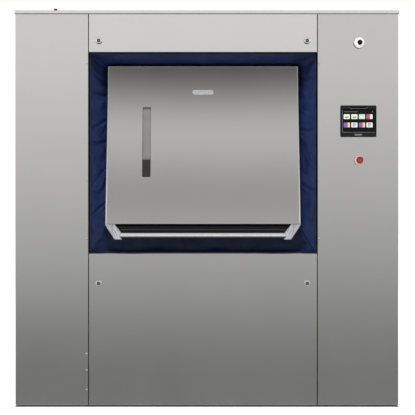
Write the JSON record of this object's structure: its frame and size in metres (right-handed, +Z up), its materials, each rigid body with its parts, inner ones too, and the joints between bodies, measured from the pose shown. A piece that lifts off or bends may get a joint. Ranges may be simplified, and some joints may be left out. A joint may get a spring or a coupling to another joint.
{
  "type": "barrier washer extractor",
  "caption": "Floor-standing pass-through laundry washer-extractor: sprung tub behind fabric bellows, top-hinged flap door on both sides, belt-driven divided drum.",
  "frame": {"origin": "on the floor at the centre of the cabinet footprint", "axes": "+Z up, -Y the soiled-side front with the loading door, +X to the right seen from the front"},
  "size_m": [1.972, 1.5152, 2.1584],
  "materials": {
    "stainless": "fine brushed stainless sheet",
    "door_stainless": "fine brushed stainless sheet, slightly darker",
    "handle_aluminium": "satin",
    "chrome": "polished",
    "frame_steel": "grey enamel",
    "spring_steel": "dark powder coat",
    "motor_paint": "blue-grey enamel",
    "bellows_fabric": "coated woven fabric with a soft sheen",
    "black_rubber": "moulded",
    "black_plastic": "fine textured",
    "grey_plastic": "fine textured",
    "white_plastic": "semi-gloss",
    "red_plastic": "gloss",
    "yellow_plastic": "gloss"
  },
  "bodies": {
    "cabinet": {"base_frame": "frame_steel", "upper_frame": "frame_steel", "left_side_panel": "stainless", "right_side_panel": "stainless", "top_cover": "stainless", "service_connections": "frame_steel", "control_box": "frame_steel", "front_left_panel": "stainless", "front_right_panel": "stainless", "front_bellows": "bellows_fabric", "front_display": "black_plastic", "front_stop_collar": "yellow_plastic", "rear_left_panel": "stainless", "rear_right_panel": "stainless", "rear_bellows": "bellows_fabric", "rear_display": "black_plastic", "rear_stop_collar": "yellow_plastic", "front_buzzer": "white_plastic", "front_left_spring": "spring_steel", "front_right_spring": "spring_steel", "rear_left_spring": "spring_steel", "rear_right_spring": "spring_steel"},
    "tub": {"tub": "stainless", "left_bearing_housing": "frame_steel", "right_bearing_housing": "frame_steel", "motor": "motor_paint", "drive_belt": "black_rubber", "front_mouth_frame": "stainless", "front_door_seal": "black_rubber", "front_hinge_rod": "frame_steel", "rear_mouth_frame": "stainless", "rear_door_seal": "black_rubber", "rear_hinge_rod": "frame_steel"},
    "drum": {"drum": "stainless", "drum_pulley": "frame_steel"},
    "motor_pulley": {"motor_pulley": "frame_steel"},
    "drum_door_a": {"drum_door_a": "stainless"},
    "drum_door_b": {"drum_door_b": "stainless"},
    "front_door": {"front_door": "door_stainless", "front_handle": "handle_aluminium", "front_handle_guard": "black_plastic"},
    "front_latch_grip": {"front_latch_grip": "grey_plastic"},
    "rear_door": {"rear_door": "door_stainless", "rear_handle": "handle_aluminium", "rear_handle_guard": "black_plastic"},
    "rear_latch_grip": {"rear_latch_grip": "grey_plastic"},
    "front_upper_panel": {"front_upper_panel": "stainless"},
    "front_upper_left_lock": {"front_upper_left_lock": "chrome"},
    "front_upper_right_lock": {"front_upper_right_lock": "chrome"},
    "front_lower_panel": {"front_lower_panel": "stainless"},
    "front_lower_left_lock": {"front_lower_left_lock": "chrome"},
    "front_lower_right_lock": {"front_lower_right_lock": "chrome"},
    "front_stop_button": {"front_stop_button": "red_plastic"},
    "rear_upper_panel": {"rear_upper_panel": "stainless"},
    "rear_upper_left_lock": {"rear_upper_left_lock": "chrome"},
    "rear_upper_right_lock": {"rear_upper_right_lock": "chrome"},
    "rear_lower_panel": {"rear_lower_panel": "stainless"},
    "rear_lower_left_lock": {"rear_lower_left_lock": "chrome"},
    "rear_lower_right_lock": {"rear_lower_right_lock": "chrome"},
    "rear_stop_button": {"rear_stop_button": "red_plastic"}
  },
  "joints": [
    {"name": "tub_suspension", "type": "slide", "parent": "cabinet", "child": "tub", "axis": [0, 0, 1], "range_m": [-0.008, 0.008], "deforming": ["front_left_spring", "front_right_spring", "rear_left_spring", "rear_right_spring", "front_bellows", "rear_bellows"]},
    {"name": "drum_spin", "type": "hinge", "parent": "tub", "child": "drum", "pos_m": [-0.02, 0, 1.18], "axis": [1, 0, 0], "continuous": true},
    {"name": "motor_spin", "type": "hinge", "parent": "tub", "child": "motor_pulley", "pos_m": [-0.77, 0, 0.42], "axis": [1, 0, 0], "continuous": true},
    {"name": "drum_door_a_hinge", "type": "hinge", "parent": "drum", "child": "drum_door_a", "pos_m": [-0.02, -0.39427, 1.5071], "axis": [1, 0, 0], "range_deg": [0, 55]},
    {"name": "drum_door_b_hinge", "type": "hinge", "parent": "drum", "child": "drum_door_b", "pos_m": [-0.02, 0.39427, 0.8529], "axis": [1, 0, 0], "range_deg": [0, 55]},
    {"name": "front_door_hinge", "type": "hinge", "parent": "tub", "child": "front_door", "pos_m": [-0.02, -0.54808, 1.75604], "axis": [-1, 0, 0], "range_deg": [0, 75]},
    {"name": "front_latch_slide", "type": "slide", "parent": "front_door", "child": "front_latch_grip", "axis": [0, 0.1478, 0.989], "range_m": [0, 0.27]},
    {"name": "rear_door_hinge", "type": "hinge", "parent": "tub", "child": "rear_door", "pos_m": [-0.02, 0.54808, 1.75604], "axis": [1, 0, 0], "range_deg": [0, 75]},
    {"name": "rear_latch_slide", "type": "slide", "parent": "rear_door", "child": "rear_latch_grip", "axis": [0, -0.1478, 0.989], "range_m": [0, 0.27]},
    {"name": "front_upper_panel_hinge", "type": "hinge", "parent": "cabinet", "child": "front_upper_panel", "pos_m": [-0.02, -0.69, 2.013], "axis": [-1, 0, 0], "range_deg": [0, 70]},
    {"name": "front_upper_left_lock_turn", "type": "hinge", "parent": "front_upper_panel", "child": "front_upper_left_lock", "pos_m": [-0.554, -0.69, 1.874], "axis": [0, -1, 0], "range_deg": [0, 90]},
    {"name": "front_upper_right_lock_turn", "type": "hinge", "parent": "front_upper_panel", "child": "front_upper_right_lock", "pos_m": [0.514, -0.69, 1.874], "axis": [0, 1, 0], "range_deg": [0, 90]},
    {"name": "front_lower_panel_hinge", "type": "hinge", "parent": "cabinet", "child": "front_lower_panel", "pos_m": [-0.02, -0.69, 0.006], "axis": [1, 0, 0], "range_deg": [0, 25]},
    {"name": "front_lower_left_lock_turn", "type": "hinge", "parent": "front_lower_panel", "child": "front_lower_left_lock", "pos_m": [-0.554, -0.69, 0.63], "axis": [0, 1, 0], "range_deg": [0, 90]},
    {"name": "front_lower_right_lock_turn", "type": "hinge", "parent": "front_lower_panel", "child": "front_lower_right_lock", "pos_m": [0.514, -0.69, 0.63], "axis": [0, -1, 0], "range_deg": [0, 90]},
    {"name": "front_stop_press", "type": "slide", "parent": "cabinet", "child": "front_stop_button", "axis": [0, 1, 0], "range_m": [0, 0.005]},
    {"name": "rear_upper_panel_hinge", "type": "hinge", "parent": "cabinet", "child": "rear_upper_panel", "pos_m": [-0.02, 0.69, 2.013], "axis": [1, 0, 0], "range_deg": [0, 70]},
    {"name": "rear_upper_left_lock_turn", "type": "hinge", "parent": "rear_upper_panel", "child": "rear_upper_left_lock", "pos_m": [0.514, 0.69, 1.874], "axis": [0, 1, 0], "range_deg": [0, 90]},
    {"name": "rear_upper_right_lock_turn", "type": "hinge", "parent": "rear_upper_panel", "child": "rear_upper_right_lock", "pos_m": [-0.554, 0.69, 1.874], "axis": [0, -1, 0], "range_deg": [0, 90]},
    {"name": "rear_lower_panel_hinge", "type": "hinge", "parent": "cabinet", "child": "rear_lower_panel", "pos_m": [-0.02, 0.69, 0.006], "axis": [-1, 0, 0], "range_deg": [0, 25]},
    {"name": "rear_lower_left_lock_turn", "type": "hinge", "parent": "rear_lower_panel", "child": "rear_lower_left_lock", "pos_m": [0.514, 0.69, 0.63], "axis": [0, -1, 0], "range_deg": [0, 90]},
    {"name": "rear_lower_right_lock_turn", "type": "hinge", "parent": "rear_lower_panel", "child": "rear_lower_right_lock", "pos_m": [-0.554, 0.69, 0.63], "axis": [0, 1, 0], "range_deg": [0, 90]},
    {"name": "rear_stop_press", "type": "slide", "parent": "cabinet", "child": "rear_stop_button", "axis": [0, -1, 0], "range_m": [0, 0.005]}
  ],
  "couplings": [
    {"joint": "motor_spin", "follows": "drum_spin", "ratio": 5.5}
  ]
}
